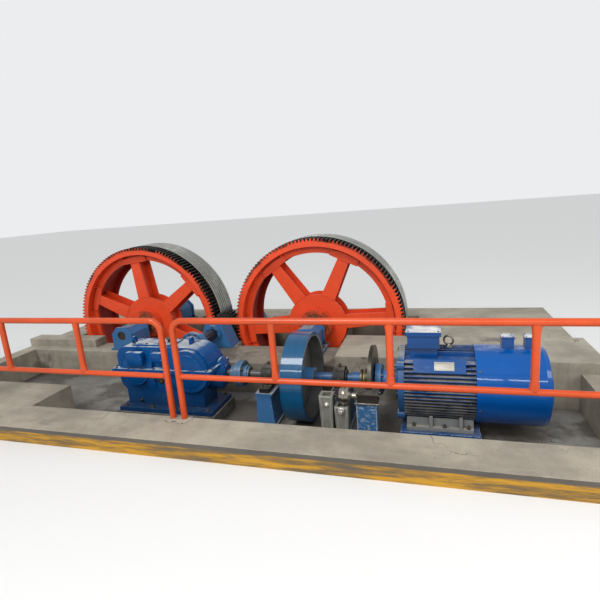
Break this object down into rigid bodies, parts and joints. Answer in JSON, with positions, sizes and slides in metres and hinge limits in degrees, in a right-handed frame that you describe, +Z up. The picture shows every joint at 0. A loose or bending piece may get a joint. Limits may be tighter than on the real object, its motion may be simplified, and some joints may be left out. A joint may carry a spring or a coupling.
{
  "type": "double wheel haul-off capstan of a rigid stranding machine",
  "caption": "Haul-off capstan of a rigid stranding machine: two geared spoked rope wheels, pinion, gearbox, line shaft with brake, motor and guard rail, in its concrete foundation.",
  "frame": {"origin": "middle of the foundation's underside", "axes": "+X along the line shaft towards the motor, +Y from the guard rail to the wheels and the rear wall, +Z up"},
  "size_m": [6.5, 3.82, 2.2448],
  "materials": {
    "concrete": "rough concrete, dusty",
    "wheel_orange": "worn gloss paint",
    "rail_orange": "gloss paint",
    "worn_steel": "polished by use, oily",
    "gear_steel": "dark greasy steel",
    "dark_iron": "oily cast iron",
    "pedestal_blue": "worn paint",
    "gearbox_blue": "gloss paint, dusty top",
    "motor_blue": "gloss paint",
    "cast_aluminium": "cast, dull"
  },
  "bodies": {
    "foundation": {"actuator_legs": "cast_aluminium", "bearing_piers": "concrete", "brake_actuator": "dark_iron", "caliper": "dark_iron", "caliper_stand": "pedestal_blue", "drive_pit_bed": "concrete", "drive_pit_ends": "concrete", "foundation_slab": "concrete", "front_kerb": "concrete", "gearbox_base": "gearbox_blue", "gearbox_bed": "dark_iron", "gearbox_cover": "gearbox_blue", "guard_frame_left": "rail_orange", "guard_frame_right": "rail_orange", "guard_middle_rails": "rail_orange", "guard_stub_posts": "rail_orange", "line_pedestals": "pedestal_blue", "motor_bed_plate": "pedestal_blue", "motor_cowl_boxes": "motor_blue", "motor_end_shield": "motor_blue", "motor_fan_cowl": "motor_blue", "motor_feet": "motor_blue", "motor_frame": "motor_blue", "motor_terminal_box": "motor_blue", "pillow_blocks": "dark_iron", "pinion_bearings": "pedestal_blue", "plinth_left": "concrete", "plinth_middle": "concrete", "plinth_right": "concrete", "rear_wall": "concrete", "wheel_bearings_left": "pedestal_blue", "wheel_bearings_right": "pedestal_blue", "wheel_pit_ends": "concrete"},
    "wheel_left": {"axle_left": "worn_steel", "hub_left": "wheel_orange", "rim_front_ring_left": "wheel_orange", "rim_left": "wheel_orange", "rim_pads_left": "wheel_orange", "rim_rear_ring_left": "wheel_orange", "ring_gear_left": "wheel_orange", "rope_ring_left": "worn_steel", "spokes_left": "wheel_orange"},
    "wheel_right": {"axle_right": "worn_steel", "hub_right": "wheel_orange", "rim_front_ring_right": "wheel_orange", "rim_pads_right": "wheel_orange", "rim_rear_ring_right": "wheel_orange", "rim_right": "wheel_orange", "ring_gear_right": "wheel_orange", "rope_ring_right": "worn_steel", "spokes_right": "wheel_orange"},
    "pinion": {"pinion_coupling": "pedestal_blue", "pinion_gear": "gear_steel", "pinion_shaft": "gear_steel"},
    "drive_shaft": {"brake_disc": "gear_steel", "brake_wheel": "pedestal_blue", "gear_coupling": "pedestal_blue", "line_shaft": "worn_steel", "motor_coupling": "pedestal_blue"}
  },
  "joints": [
    {"name": "wheel_left_spin", "type": "hinge", "parent": "foundation", "child": "wheel_left", "pos_m": [-1.734, 0.6, 1.23], "axis": [0, 1, 0], "continuous": true},
    {"name": "wheel_right_spin", "type": "hinge", "parent": "foundation", "child": "wheel_right", "pos_m": [0.562, 0.6, 1.23], "axis": [0, 1, 0], "continuous": true},
    {"name": "pinion_spin", "type": "hinge", "parent": "foundation", "child": "pinion", "pos_m": [-0.586, 0.6, 1.23], "axis": [0, 1, 0], "continuous": true},
    {"name": "line_shaft_spin", "type": "hinge", "parent": "foundation", "child": "drive_shaft", "pos_m": [1.372, -0.84, 1.135], "axis": [1, 0, 0], "continuous": true}
  ],
  "couplings": [
    {"joint": "wheel_right_spin", "follows": "wheel_left_spin", "ratio": 1},
    {"joint": "pinion_spin", "follows": "wheel_left_spin", "ratio": -6.4545}
  ]
}
